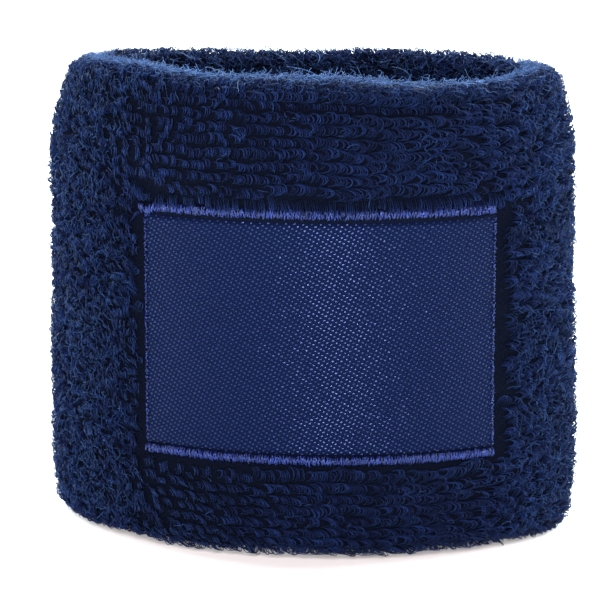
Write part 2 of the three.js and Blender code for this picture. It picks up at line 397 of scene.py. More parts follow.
def yarn(name, paths, radius, sides, material, shade, flat=1.0, crisp=False):
    """Closed tubes along many paths at once. paths is (strands, points, 3), flat is how round they are, and
    crisp keeps the ends' own shading off the sides."""
    strands, points, _ = paths.shape
    step = np.gradient(paths, axis=1)
    step /= np.linalg.norm(step, axis=2, keepdims=True) + 1e-12
    helper = np.where(np.abs(step[:, :1, 2:]) > 0.8, [1.0, 0, 0], [0, 0, 1.0])
    side = np.cross(step[:, 0], helper[:, 0])
    frames = np.empty_like(paths)
    for k in range(points):
        side -= step[:, k] * np.sum(side * step[:, k], -1, keepdims=True)
        side /= np.linalg.norm(side, axis=-1, keepdims=True) + 1e-12
        frames[:, k] = side
    other = np.cross(step, frames)
    turn = np.arange(sides) / sides * 2 * math.pi
    radius = np.broadcast_to(np.asarray(radius, float).reshape(-1, 1), (strands, points))
    ring = (frames[:, :, None] * flat * np.cos(turn)[:, None] + other[:, :, None] * np.sin(turn)[:, None])
    rings = paths[:, :, None] + ring * radius[:, :, None, None]
    along = np.linspace(0, 1, points)
    ends = np.array([0, points - 1])
    if crisp:
        rings = np.concatenate([rings, rings[:, ends]], 1)
        along = np.append(along, [0, 1])
        ends = np.array([points, points + 1])
    first = np.arange(strands)[:, None, None] * len(along) * sides
    level = np.arange(points - 1)[None, :, None] * sides
    here = np.arange(sides)[None, None, :]
    there = (here + 1) % sides
    quads = np.stack([first + level + here, first + level + there,
                      first + level + sides + there, first + level + sides + here], -1)
    quads = quads.reshape(strands, -1)
    start_cap = (first + ends[0] * sides + here[..., ::-1])[:, 0]
    end_cap = (first + ends[1] * sides + here)[:, 0]
    corners = np.concatenate([quads, start_cap, end_cap], 1).ravel()
    sizes = np.concatenate([np.full((points - 1) * sides, 4), [sides, sides]])
    totals = np.tile(sizes, strands)
    starts = np.concatenate([[0], np.cumsum(totals)[:-1]])
    uv = strand_uv(strands, points, sides)
    attributes = {
        "along": np.broadcast_to(along[None, :, None], rings.shape[:3]),
        "shade": np.broadcast_to(shade[:, None, None], rings.shape[:3]),
    }
    return finish_mesh(name, rings.reshape(-1, 3), starts, totals, corners, uv, material, attributes)


def closed_grid(name, front, back, wrap, material, dark=None):
    """A closed sheet from two grids of points, (columns, rows, 3), joined at their edges. With wrap the
    columns close on themselves, and both grids' rows join at each end."""
    columns, rows, _ = front.shape
    loop = np.concatenate([front, back[:, ::-1]], 1)
    count = loop.shape[1]
    spans = columns if wrap else columns - 1
    i, j = (grid.ravel() for grid in np.meshgrid(np.arange(spans), np.arange(count), indexing="ij"))
    across = np.stack([i, i + 1, i + 1, i], -1)
    along = np.stack([j, j, j + 1, j + 1], -1)
    corners = [across % columns * count + along % count]
    u, v = [across / spans], [along / count]
    if not wrap:
        for end, flip in ((0, True), (columns - 1, False)):
            k = np.arange(rows - 1)
            cap = np.stack([end * count + k, end * count + k + 1,
                            end * count + count - 2 - k, end * count + count - 1 - k], -1)
            corners.append(cap if flip else cap[:, ::-1])
            u.append(np.full(cap.shape, float(not flip)))
            v.append(np.full(cap.shape, 0.5))
    corners, u, v = np.concatenate(corners), np.concatenate(u), np.concatenate(v)
    totals = np.full(len(corners), 4)
    starts = np.arange(len(corners)) * 4
    uv = np.stack([u, v], -1).reshape(-1, 2)
    attributes = {} if dark is None else {"dark": np.concatenate([dark, dark[:, ::-1]], 1)}
    corners = corners.ravel()
    return finish_mesh(name, loop.reshape(-1, 3), starts, totals, corners, uv, material, attributes)


# ---- materials

def new_material(name):
    """A material, its node tree and its shader."""
    material = bpy.data.materials.new(name)
    material.use_nodes = True
    return material, material.node_tree, material.node_tree.nodes["Principled BSDF"]


def put(tree, kind, inputs=None, **settings):
    """Adds a node. Inputs are values or other nodes' sockets."""
    node = tree.nodes.new(kind)
    for key, value in settings.items():
        setattr(node, key, value)
    for key, value in (inputs or {}).items():
        if isinstance(value, bpy.types.NodeSocket):
            tree.links.new(value, node.inputs[key])
        else:
            node.inputs[key].default_value = value
    return node


def blend(tree, factor, first, second, mode="MIX"):
    """A mix of two colours. Each argument is a value or a socket."""
    inputs = {0: factor, 6: first, 7: second}
    return put(tree, "ShaderNodeMix", inputs, data_type="RGBA", blend_type=mode).outputs[2]


def maths(tree, operation, first, second=0.0, third=0.5, clamp=False):
    """A number worked out from others. Each argument is a value or a socket."""
    node = put(tree, "ShaderNodeMath", {0: first, 1: second, 2: third}, operation=operation)
    node.use_clamp = clamp
    return node.outputs[0]


def noise(tree, scale, detail=2.0):
    """A noise field over the object, at a scale in cycles per metre."""
    place = put(tree, "ShaderNodeTexCoord").outputs["Object"]
    return put(tree, "ShaderNodeTexNoise", {"Vector": place, "Scale": scale, "Detail": detail}).outputs["Fac"]


def cycles(tree, coordinate, count):
    """The phase of a count of waves across one of the cloth's UV coordinates, 0 for U and 1 for V."""
    uv = put(tree, "ShaderNodeUVMap", uv_map=BAKE_MAP).outputs[0]
    parts = put(tree, "ShaderNodeSeparateXYZ", {0: uv})
    return maths(tree, "MULTIPLY", parts.outputs[coordinate], count * 2 * math.pi)


def set_shader(shader, values):
    """Sets the shader's inputs by name."""
    for key, value in values.items():
        shader.inputs[key].default_value = value


def fibre_material(name, colours, finish, root):
    """Yarn in dark, light and accent colours. Each strand has its own tone, patches drift from dark to light,
    and painted shade takes the colour down towards both ends of each strand, to root times that at its
    middle."""
    dark, light, accent = colours
    material, tree, shader = new_material(name)
    shade = put(tree, "ShaderNodeAttribute", attribute_name="shade").outputs["Fac"]
    along = put(tree, "ShaderNodeAttribute", attribute_name="along").outputs["Fac"]
    patches = maths(tree, "MULTIPLY_ADD", noise(tree, 160.0, 3.0), 0.9, -0.2)
    tone = maths(tree, "ADD", patches, maths(tree, "MULTIPLY", shade, 0.5), clamp=True)
    colour = blend(tree, tone, dark, light)
    colour = blend(tree, maths(tree, "MULTIPLY", noise(tree, 2600.0), 0.35), colour, accent)
    # painted shade: each strand darker towards both ends, where it goes down among the loops or into the
    # cloth
    arch = maths(tree, "SINE", maths(tree, "MULTIPLY", along, math.pi))
    depth = maths(tree, "MULTIPLY_ADD", arch, 1 - root, root)
    painted_end_shade = put(tree, "ShaderNodeCombineColor", {"Red": depth, "Green": depth, "Blue": depth}).outputs[0]
    tree.links.new(blend(tree, 1.0, colour, painted_end_shade, "MULTIPLY"), shader.inputs["Base Color"])
    set_shader(shader, finish)
    return material


# Dark, light and accent colours
NAVY = ((0.0022, 0.006, 0.022, 1), (0.0088, 0.0255, 0.104, 1), (0.014, 0.012, 0.062, 1))
PLAIN_NAVY = (NAVY[0], NAVY[1], NAVY[1])
FUZZ_BLUE = ((0.007, 0.020, 0.07, 1), (0.020, 0.058, 0.17, 1), (0.03, 0.06, 0.16, 1))
# A much lighter copy of the fuzz colours for the rim's crest and strays: painted light where the top light
# catches the fibres.
RIM_LIT_BLUE = ((0.010, 0.030, 0.11, 1), (0.055, 0.15, 0.36, 1), (0.16, 0.24, 0.42, 1))
# The thread's light strands and accent spots: partly the thread's own tone, partly painted glints.
THREAD_TONES_AND_GLINTS = ((0.001, 0.002, 0.014, 1), (0.007, 0.019, 0.15, 1), (0.055, 0.10, 0.50, 1))
SATIN_BLUE = ((0.001, 0.003, 0.018, 1), (0.0015, 0.005, 0.028, 1), (0.002, 0.006, 0.032, 1))
UNDYED = ((0.42, 0.40, 0.36, 1), (0.66, 0.64, 0.60, 1), (0.75, 0.74, 0.7, 1))
# The ground knit's navy, darkened well below the pile's as painted shade between the loops and in the bare
# strip round the label.
GROUND_SHADED_DARK = (0.001, 0.0015, 0.004, 1)
GROUND_SHADED_LIGHT = (0.0025, 0.0035, 0.009, 1)
LABEL_DARK = (0.0006, 0.002, 0.014, 1)
LABEL_BLUE = (0.0006, 0.0035, 0.027, 1)
# Painted shadow: the colour the label cloth takes along its edges and beside the stitch bands.
LABEL_EDGE_SHADOW = (0.0004, 0.0006, 0.002, 1)

SHINE_TINT = (0.3, 0.5, 1.0, 1)
PILE_FINISH = {
    "Roughness": 0.5, "Specular IOR Level": 0.06, "Specular Tint": SHINE_TINT,
    "Sheen Weight": 0.05, "Sheen Roughness": 0.4, "Sheen Tint": (0.18, 0.42, 1.0, 1),
}
THREAD_FINISH = {"Roughness": 0.2, "Specular IOR Level": 0.6, "Specular Tint": (0.5, 0.65, 1.0, 1)}
SATIN_FINISH = {"Roughness": 0.3, "Specular IOR Level": 1.0, "Specular Tint": (0.32, 0.44, 1.0, 1)}
GROUND_FINISH = {"Roughness": 0.9, "Specular IOR Level": 0.05, "Specular Tint": SHINE_TINT}
LABEL_FINISH = {"Roughness": 0.6, "Specular IOR Level": 0.1, "Specular Tint": SHINE_TINT}

# root is the share of colour left at the strands' ends, as painted shade
pile_material = fibre_material("terry_pile", NAVY, PILE_FINISH, root=0.12)
fuzz_material = fibre_material("terry_fuzz", FUZZ_BLUE, PILE_FINISH, root=0.8)
# the rim's fuzz gets the lit copy of the fuzz colours: painted light
rim_lit_fuzz_material = fibre_material("terry_rim_fuzz_lit", RIM_LIT_BLUE, PILE_FINISH, root=0.8)
thread_material = fibre_material("label_thread", THREAD_TONES_AND_GLINTS, THREAD_FINISH, root=0.25)
satin_material = fibre_material("label_satin_points", SATIN_BLUE, SATIN_FINISH, root=0.9)
seam_material = fibre_material(
    "seam_thread", PLAIN_NAVY, {"Roughness": 0.4, "Specular IOR Level": 0.5}, root=0.2)
elastic_material = fibre_material("elastic_yarn", UNDYED, {"Roughness": 0.5}, root=0.85)

WALE_PITCH = 0.9
COURSE_PITCH = 0.7


def ground_material():
    """Ground knit: rows of small V stitches, matt, its navy darkened well below the pile's as painted shade.
    """
    material, tree, shader = new_material("terry_ground")
    wales = cycles(tree, 0, PERIMETER / WALE_PITCH)
    courses = cycles(tree, 1, 2 * OUTLINE / COURSE_PITCH)
    stitch = maths(tree, "ADD", courses, maths(tree, "MULTIPLY", maths(tree, "SINE", wales), 1.4))
    ridge = maths(tree, "MULTIPLY", maths(tree, "SINE", stitch), maths(tree, "COSINE", wales))
    fuzz = noise(tree, 4000.0, 3.0)
    height = maths(tree, "ADD", maths(tree, "MULTIPLY", ridge, 0.5), fuzz)
    bump = put(tree, "ShaderNodeBump", {"Height": height, "Strength": 0.6, "Distance": 0.0002})
    tree.links.new(bump.outputs[0], shader.inputs["Normal"])
    tree.links.new(blend(tree, fuzz, GROUND_SHADED_DARK, GROUND_SHADED_LIGHT), shader.inputs["Base Color"])
    set_shader(shader, GROUND_FINISH)
    return material


WARP_PITCH = 0.217
PICK_PITCH = 0.255


def label_material():
    """Satin weave: fine upright warp floats, crossed by picks."""
    material, tree, shader = new_material("label_cloth")
    warp = cycles(tree, 0, LABEL_WIDTH / WARP_PITCH)
    pick = cycles(tree, 1, 2 * LABEL_HEIGHT / PICK_PITCH)
    threads = maths(tree, "MULTIPLY_ADD", maths(tree, "COSINE", warp), 0.5, 0.5)
    crossing = maths(tree, "MULTIPLY", maths(tree, "COSINE", pick), 0.25)
    height = maths(tree, "ADD", threads, crossing)
    bump = put(tree, "ShaderNodeBump", {"Height": height, "Strength": 0.5, "Distance": 0.00006})
    tree.links.new(bump.outputs[0], shader.inputs["Normal"])
    slub = maths(tree, "MULTIPLY_ADD", noise(tree, 1500.0), 0.8, 0.5)
    tone = maths(tree, "MULTIPLY", threads, slub, clamp=True)
    colour = blend(tree, tone, LABEL_DARK, LABEL_BLUE)
    # painted shadow: the cloth is darkened along its edges and beside the stitch bands, by the mesh's dark
    # attribute
    pressed = put(tree, "ShaderNodeAttribute", attribute_name="dark").outputs["Fac"]
    tree.links.new(blend(tree, pressed, colour, LABEL_EDGE_SHADOW), shader.inputs["Base Color"])
    set_shader(shader, LABEL_FINISH)
    return material


# ---- ground knit

GROUND_ROWS = 165
GROUND_COLUMNS = 285
SEAM_SLIT = 0.9  # from the seam's middle to each raw end
PRESSED_IN = 0.15  # how far the bare patch under the label is pressed in
PRESS_EDGE = 0.6  # width of the step at its edge
seam_low, seam_high = cad_box("closing_seam_thread")
SEAM_Q = q_inner((seam_low.z + seam_high.z) / 2)


def ground_knit():
    """The folded sleeve's ground knit as one closed cloth, open at the seam on the wrist side."""
    q = np.linspace(SEAM_Q + SEAM_SLIT, SEAM_Q - SEAM_SLIT + OUTLINE, GROUND_ROWS)
    s = np.linspace(0, PERIMETER, GROUND_COLUMNS, endpoint=False) - PERIMETER / 2
    grid_s, grid_q = np.meshgrid(s, q, indexing="ij")
    outside = np.mod(grid_q, OUTLINE) < TOP_CREST
    past_edge = np.maximum(*past_label(grid_s, height_at(grid_q))) - PATCH_MARGIN
    pressed = outside * (1 - smooth((past_edge + PRESS_EDGE) / PRESS_EDGE))
    front = wall_frame(grid_s, grid_q, -PRESSED_IN * pressed)[0]
    back = wall_frame(grid_s, grid_q, -(LAYER - PILE))[0]
    piece = closed_grid("terry_ground", front, back, True, ground_material())
    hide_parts("terry_sleeve")
    return piece


# ---- terry loops

ALL_ROUND = (-PERIMETER / 2, PERIMETER / 2)
COLUMN_PITCH = 1.0
ROW_PITCH = 1.45
TOP_ROW_PITCH = 1.0
BOTTOM_ROW_PITCH = 1.4
INNER_COLUMN_PITCH = 1.15
INNER_ROW_PITCH = 1.75
FINER = 0.76  # pitch of the tangled pile beside that of the combed pile
COMBED_REACH = 16  # how far round from the label's middle the pile stays combed
TANGLED_REACH = 33  # and from where on it is tangled
NEST_START = -14  # where the combed loops start to stand more closely, from the label's middle
NEST_RISE = 16
HEADING = 0.35  # the way combed loops lean, in radians up from the way round the band
TANGLED_HEADING = 0.6  # how much farther up the tangled loops lean
TILT = 0.95  # the loops' lean from upright, in radians
FEET = 2.0  # the way from a loop's lower foot to its upper one, in radians up from the way round
CREASE_CROP = 0.5  # the share of a loop's height that the crease under the rim takes off
FLOOR_CROP = 0.2  # and that the floor does, within FLOOR_REACH of it
FLOOR_REACH = 3
PULL_REACH = 1.5  # how near the label's edge the pile is drawn right over it
PULL_FALL = 0.9
LOOP_HALF_WIDTH = 0.62
LOOP_TURN = math.radians(120)
FOOT_DEPTH = 0.2  # how far the loops' feet go into the ground knit
STRANDS = 4
STRAND_SPACING = 0.25
STRAND_RADIUS = 0.053
OUTER_POINTS = 8  # points along a strand
INNER_POINTS = 6
FACES_IN_A_PIECE = 195000
EDGE_LOOPS = 0.7  # how far from the bare strip round the label the nearest loops stand
FOLD_REACH = PILE + 1.2  # how far each side of the upper crest the fold's own rows go
SEAM_CLEAR = 1.0  # bare strip each side of the closing seam

row_wave = drift(24, 6)
nap_turn = drift(21, 9)
nap_lean = drift(22, 7)
nap_length = drift(23, 5)


def tangle(s):
    """The pile is combed in rows over the front, 0, and tangled round the sides and the back, 1."""
    return smooth((np.abs(s - LABEL_MIDDLE) - COMBED_REACH) / (TANGLED_REACH - COMBED_REACH))


def nested(s):
    """On the front the loops stand in short clusters at the left, 0, and nest closely at the right, 1."""
    return smooth((s - LABEL_MIDDLE - NEST_START) / NEST_RISE)


def closeness(s):
    """How closely the loops stand, 0 to 1, with the tangled pile counted as close."""
    return nested(s) + tangle(s) * (1 - nested(s))


def rows_of_loops(seed, q_range, s_range=ALL_ROUND, row_pitch=ROW_PITCH, column_pitch=COLUMN_PITCH,
                  loose=None):
    """Places of loops in rows, staggered, each with a little scatter. loose keeps only the combed front,
    False, or only the tangled rest, True."""
    rng = np.random.default_rng(seed)
    tall = q_range[1] - q_range[0]
    wide = s_range[1] - s_range[0]
    rows = max(round(tall / row_pitch), 1)
    found = []
    for row in range(rows):
        q = q_range[0] + (row + 0.5) * tall / rows
        depth = np.interp(q % OUTLINE, LINE_Q, LINE_DEPTH)
        shrink = 1 - 2 * math.pi * depth / PERIMETER
        count = round(wide * shrink / column_pitch)
        s = s_range[0] + (np.arange(count) + 0.25 + 0.5 * (row % 2)) / count * wide
        scatter = 0.16 - 0.05 * nested(s) + 0.1 * tangle(s)
        wave = 0.3 * row_wave(s, q + 0 * s)
        found.append(np.stack([s + rng.normal(0, scatter), q + wave + rng.normal(0, scatter)], -1))
    found = np.concatenate(found)
    if loose is not None:
        found = found[(rng.uniform(0, 1, len(found)) < tangle(found[:, 0])) == loose]
    return found


def pile_rows(seed, q_range, s_range=ALL_ROUND, row_pitch=ROW_PITCH):
    """Long combed loops over the front, and finer, closer ones round the sides and the back."""
    front = rows_of_loops(seed, q_range, s_range, row_pitch, loose=False)
    rest = rows_of_loops(seed + 50, q_range, s_range, row_pitch * FINER, COLUMN_PITCH * FINER, loose=True)
    return np.concatenate([front, rest])


def towards_label(s, q, z):
    """How strongly the pile by the label is drawn over its edge, which way, and if it stands at its sides."""
    across, along = past_label(s, z)
    beside = across > along
    pull = (q < TOP_CREST) * (1 - smooth((np.maximum(across, along) - PULL_REACH) / PULL_FALL))
    pull = pull * np.where(beside & (s > LABEL_MIDDLE), 0.0, 0.75 + 0.25 * nap_turn(s + 20, q))
    way = np.where(beside, np.where(s < LABEL_MIDDLE, 0, math.pi), np.sign(LABEL_TOP - z) * math.pi / 2)
    return pull, way, beside


def on_floor(z):
    """What would hang below the floor is spread over it instead."""
    return np.where(z < STRAND_RADIUS, STRAND_RADIUS * (1 + np.exp(np.minimum(z, 0))), z)


def unit(vectors):
    """Vectors of length 1, along the last axis."""
    return vectors / (np.linalg.norm(vectors, axis=-1, keepdims=True) + 1e-9)


def loop_stance(rng, s, q, wall, pulled):
    """The way each loop points, its tilt from upright, the way across it and the way its strands are set."""
    _, out, round_, up = wall
    pull, way, beside = pulled
    loose = tangle(s)
    close = closeness(s)

    def in_plane(angle):
        return round_ * np.cos(angle)[:, None] + up * np.sin(angle)[:, None]

    heading = HEADING + TANGLED_HEADING * loose + 0.35 * nap_turn(s, q)
    heading = heading + rng.normal(0, 0.2 + 0.4 * loose)
    leaning = unit(in_plane(heading) * (1 - pull)[:, None] + 1.3 * in_plane(way) * pull[:, None])
    tilt = TILT - 0.15 * loose - 0.2 * (1 - close) + 0.15 * nap_lean(s, q)
    tilt = tilt + rng.normal(0, 0.1 + 0.15 * loose) + 0.1 * pull
    tilt = np.clip(tilt, 0.1, 1.25)[:, None]
    point = out * np.cos(tilt) + leaning * np.sin(tilt)
    feet = FEET + 0.25 * nap_turn(s + 40, q) + rng.normal(0, 0.15 + 0.35 * loose)
    feet = feet * (1 - pull) + pull * np.where(beside, 0, math.pi / 2)
    row = in_plane(pull * beside * math.pi / 2 + rng.normal(0, 0.12 + 0.4 * loose * (1 - pull)))
    axis = in_plane(feet)
    axis = unit(axis - point * np.sum(axis * point, -1, keepdims=True))
    return point, tilt, axis, row


def loop_size(rng, s, q, tilt):
    """Each strand's height and half width. Tilted loops are longer, so that they stand as high."""
    count = len(s)
    loose = tangle(s)
    close = closeness(s)
    crop = CREASE_CROP * crease(s, q, height_at(q)) + FLOOR_CROP * smooth(1 - height_at(q) / FLOOR_REACH)
    tall = PILE / np.cos(tilt * 0.65) * (1 - 0.15 * loose[:, None])
    tall = tall * (1 + 0.12 * nap_length(s, q)[:, None] + rng.normal(0, 0.08, (count, 1)))
    tall = tall * (1 + np.clip(rng.normal(-0.1, 0.22, count), -0.4, 0.1) * (1 - close))[:, None]
    tall = tall * (1 - crop)[:, None]
    tall = tall * (1 + rng.normal(0, 0.06, (count, STRANDS)))
    wide = LOOP_HALF_WIDTH * (0.82 + 0.18 * close - 0.3 * loose)[:, None]
    wide = wide * (1 + rng.normal(0, 0.10, (count, 1)))
    wide = wide * (1 + rng.normal(0, 0.08, (count, STRANDS)))
    return tall, wide


def terry_loops(name, seed, sites, points):
    """Loops of several strands side by side. Each leans with the nap, its upper foot a little to the left."""
    rng = np.random.default_rng(seed)
    count = len(sites)
    s, q = sites.T
    wall = wall_frame(s, q, 0)
    q = np.mod(q, OUTLINE)
    pull, way, beside = towards_label(s, q, height_at(q))
    point, tilt, axis, row = loop_stance(rng, s, q, wall, (pull, way, beside))
    tall, wide = loop_size(rng, s, q, tilt)
    spacing = STRAND_SPACING * (0.78 + 0.22 * closeness(s) + 0.5 * pull * beside)
    number = np.arange(STRANDS) - (STRANDS - 1) / 2
    gap = number * spacing[:, None] + rng.normal(0, 0.025, (count, STRANDS))
    turn = (LOOP_TURN * np.linspace(-1, 1, points))[None, None, :, None]
    rise = (np.cos(turn) - math.cos(LOOP_TURN)) / (1 - math.cos(LOOP_TURN))
    bend = (0.05 + 0.07 * tangle(s))[:, None, None, None]
    stray = bend * np.cos(turn) * rng.normal(0, 1, (count, STRANDS, 1, 3))
    tall, wide, gap = (v[:, :, None, None] for v in (tall, wide, gap))
    base, out, axis, point, row = (v[:, None, None, :] for v in (wall[0], wall[1], axis, point, row))
    paths = (base - FOOT_DEPTH * out + axis * wide * np.sin(turn) + point * (tall + FOOT_DEPTH) * rise
             + row * gap + stray)
    paths = paths.reshape(count * STRANDS, points, 3)
    paths[..., 2] = on_floor(paths[..., 2])
    radius = STRAND_RADIUS * (1 + rng.normal(0, 0.12, count * STRANDS))
    shade = np.repeat(rng.normal(0, 0.4, count), STRANDS) + rng.normal(0, 0.6, count * STRANDS)
    return yarn(name, paths, radius, 3, pile_material, shade)


def pile_part(name, seed, sites, points=OUTER_POINTS):
    """One part of the pile, in as many pieces as its faces ask for."""
    faces = len(sites) * STRANDS * ((points - 1) * 6 + 2)
    pieces = np.array_split(sites, math.ceil(faces / FACES_IN_A_PIECE))
    return [terry_loops(f"{name}_{k + 1}", seed + k, part, points) for k, part in enumerate(pieces)]


def outer_pile():
    """The pile up the outside and over both folds, with the label's patch left bare."""
    low_out = q_outer(FOLD_RADIUS)
    top_out = TOP_CREST - FOLD_REACH
    below_label = q_outer(LABEL_BOTTOM - PATCH_MARGIN)
    above_label = q_outer(LABEL_TOP + 2 * EDGE_LOOPS)
    fringe_q = q_outer(LABEL_TOP + EDGE_LOOPS)
    beside_label = (LABEL_RIGHT + PATCH_MARGIN + EDGE_LOOPS / 4,
                    LABEL_LEFT - PATCH_MARGIN - EDGE_LOOPS / 2 + PERIMETER)
    over_label = (LABEL_LEFT - PATCH_MARGIN, LABEL_RIGHT + PATCH_MARGIN)
    top_fold = (top_out, TOP_CREST + FOLD_REACH)
    bottom_fold = (q_inner(FOLD_RADIUS), OUTLINE + low_out)
    made = []
    for name, seed, sites in (
        ("lower", 200, pile_rows(100, (low_out, below_label))),
        ("sides", 210, pile_rows(101, (below_label, above_label), beside_label)),
        ("over_label", 215, rows_of_loops(107, (fringe_q, fringe_q + 1), over_label)),
        ("upper", 220, pile_rows(102, (above_label, top_out))),
        ("top_fold", 230, pile_rows(103, top_fold, row_pitch=TOP_ROW_PITCH)),
        ("bottom_fold", 240, pile_rows(104, bottom_fold, row_pitch=BOTTOM_ROW_PITCH)),
    ):
        made += pile_part("terry_pile_" + name, seed, sites)
    return made


def inner_pile():
    """The pile against the wrist, above and below the closing seam."""
    pitches = {"row_pitch": INNER_ROW_PITCH, "column_pitch": INNER_COLUMN_PITCH}
    upper = rows_of_loops(105, (TOP_CREST + FOLD_REACH, SEAM_Q - SEAM_CLEAR), **pitches)
    lower = rows_of_loops(106, (SEAM_Q + SEAM_CLEAR, q_inner(FOLD_RADIUS)), **pitches)
    return (pile_part("terry_pile_inner_upper", 250, upper, INNER_POINTS)
            + pile_part("terry_pile_inner_lower", 260, lower, INNER_POINTS))


# ---- loose fibres

def loose_fibres(name, seed, sites, length, radius, stand, lift, material, points=6):
    """Single fibres over the pile. stand is how high they start, and lift how steeply they rise."""
    rng = np.random.default_rng(seed)
    count = len(sites)
    s, q = sites.T
    start, out, round_, up = wall_frame(s, q, stand * (1 + rng.normal(0, 0.12, count)))
    heading = rng.uniform(0, 2 * math.pi, count)
    level = round_ * np.cos(heading)[:, None] + up * np.sin(heading)[:, None]
    rise = rng.normal(lift, 0.25, count)[:, None]
    direction = out * np.sin(rise) + level * np.cos(rise)
    size = length * (0.5 + rng.gamma(2.0, 0.3, count))
    bend = rng.normal(0, 0.35, (count, 3))
    bend -= out * np.sum(bend * out, -1, keepdims=True) * 0.7
    paths = np.empty((count, points, 3))
    paths[:, 0] = start
    step = (size / (points - 1))[:, None]
    for k in range(1, points):
        direction = direction + bend + rng.normal(0, 0.2, (count, 3))
        direction /= np.linalg.norm(direction, axis=-1, keepdims=True)
        paths[:, k] = paths[:, k - 1] + direction * step
    paths[..., 2] = on_floor(paths[..., 2])
    return yarn(name, paths, radius, 3, material, rng.normal(0.3, 0.5, count))


FUZZ_LENGTH = 0.8
FUZZ_RADIUS = 0.03
FUZZ_START = PILE * 0.95
FUZZ_BOTTOM = 3.5  # the lowest place along the outline that has fuzz
FUZZ_COUNT = 9000
FRONT_SHARE = 0.06  # of the fuzz over the combed front
INNER_COUNT = 5500
CREST_COUNT = 5500
STRAY_COUNT = 160
STRAY_LENGTH = 2.2
STRAY_RADIUS = 0.028

CREST_TURN = 24  # how far round from the front the crest's fuzz starts to turn inwards
CREST_FADE = 35  # and to thin out

crest_bloom = drift(26, 8)


def scattered(seed, count, q_start, q_end, front=1.0):
    """Random places on the wall, clear of the label, with only a share of them kept over the front."""
    rng = np.random.default_rng(seed)
    s = rng.uniform(-PERIMETER / 2, PERIMETER / 2, count)
    q = rng.uniform(q_start, q_end, count)
    z = height_at(q)
    across = np.abs(s - LABEL_MIDDLE) - LABEL_WIDTH / 2 - PATCH_MARGIN
    along = np.maximum(LABEL_BOTTOM - z - PATCH_MARGIN, z - LABEL_TOP)
    free = (np.maximum(across, along) > PATCH_MARGIN) | (q > TOP_CREST)
    chance = front + (1 - front) * smooth((np.abs(s - LABEL_MIDDLE) - 22) / 10)
    free &= rng.uniform(0, 1, count) < chance
    return np.stack([s[free], q[free]], -1)


def crest_sites(seed, count):
    """Places along the rim's front crest, in uneven drifts that thin out and turn inwards at the sides."""
    rng = np.random.default_rng(seed)
    s = rng.uniform(-0.3, 0.3, count) * PERIMETER
    q = TOP_CREST + 0.2 + 1.2 * smooth((np.abs(s) - CREST_TURN) / 14) + rng.normal(0, 0.5, count)
    chance = 0.55 + 0.35 * crest_bloom(s, q) - 0.3 * smooth((np.abs(s) - CREST_FADE) / 15)
    kept = rng.uniform(0, 1, count) < chance
    return np.stack([s[kept], q[kept]], -1)


def all_fuzz():
    """Fuzz over the sides and back, inside the rim and along its crest, and a few long strays."""
    middle = TOP_CREST / 2
    top_out = TOP_CREST - FOLD_REACH
    low = scattered(311, FUZZ_COUNT, FUZZ_BOTTOM, middle, FRONT_SHARE)
    high = scattered(312, FUZZ_COUNT, middle, top_out, FRONT_SHARE)
    inner = scattered(315, INNER_COUNT, top_out, TOP_CREST + FOLD_REACH * 4)
    rim = crest_sites(313, CREST_COUNT)
    strays = scattered(314, STRAY_COUNT, TOP_CREST - 1, TOP_CREST + 2)
    made = []
    for name, seed, sites, start, lift, material in (
        ("terry_fuzz_low", 301, low, FUZZ_START, -0.1, fuzz_material),
        ("terry_fuzz_high", 302, high, FUZZ_START, -0.1, fuzz_material),
        ("terry_fuzz_inner", 305, inner, FUZZ_START, 0.0, fuzz_material),
        ("terry_fuzz_rim", 303, rim, PILE, 0.1, rim_lit_fuzz_material),
    ):
        made.append(loose_fibres(name, seed, sites, FUZZ_LENGTH, FUZZ_RADIUS, start, lift, material))
    made.append(loose_fibres("terry_stray_fibres", 304, strays, STRAY_LENGTH, STRAY_RADIUS, PILE, 0.6,
                             rim_lit_fuzz_material, points=9))
    return made


# ---- woven label

LABEL_THICK = 0.35
LABEL_SINK = 0.35  # how far the stitches press its edges down
UNDER_BORDER = 0.12  # how much farther in the upper stitches do so
SATIN_REPEAT = 5
SATIN_STEP = 2
FLOAT_HALF = 0.105
FLOAT_RADIUS = 0.10
FLOAT_FLAT = 0.45
border_low, border_high = cad_box("label_stitch_top")
BORDER = border_high.z - border_low.z


def label_edge(s, z):
    """Distance in from the label's nearest edge; the upper and lower stitch bands are counted as edge."""
    from_side = np.minimum(s - LABEL_LEFT, LABEL_RIGHT - s) + 0.3
    from_border = np.minimum(z - LABEL_BOTTOM, LABEL_TOP - UNDER_BORDER - z) - 0.8 * BORDER
    return np.minimum(from_side, from_border)


def label_depth(s, z):
    """The label's face: pressed down beside the stitches along its edges."""
    return LABEL_DEPTH + LABEL_SINK * (1 - smooth((label_edge(s, z) - 0.35) / 0.6))


def woven_label():
    """The label's cloth, a thin closed sheet."""
    s = np.linspace(LABEL_LEFT, LABEL_RIGHT, 220)
    z = np.linspace(LABEL_BOTTOM, LABEL_TOP, 150)
    grid_s, grid_z = np.meshgrid(s, z, indexing="ij")
    depth = label_depth(grid_s, grid_z)
    front = face_points(grid_s, grid_z, depth)
    back = face_points(grid_s, grid_z, depth + LABEL_THICK)
    # painted shadow: the cloth's colour darkens towards its edges and under the stitch bands
    dark = 1 - smooth((label_edge(grid_s, grid_z) - 0.25) / 0.5)
    piece = closed_grid("woven_label_cloth", front, back, False, label_material(), dark)
    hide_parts("woven_label")
    return piece


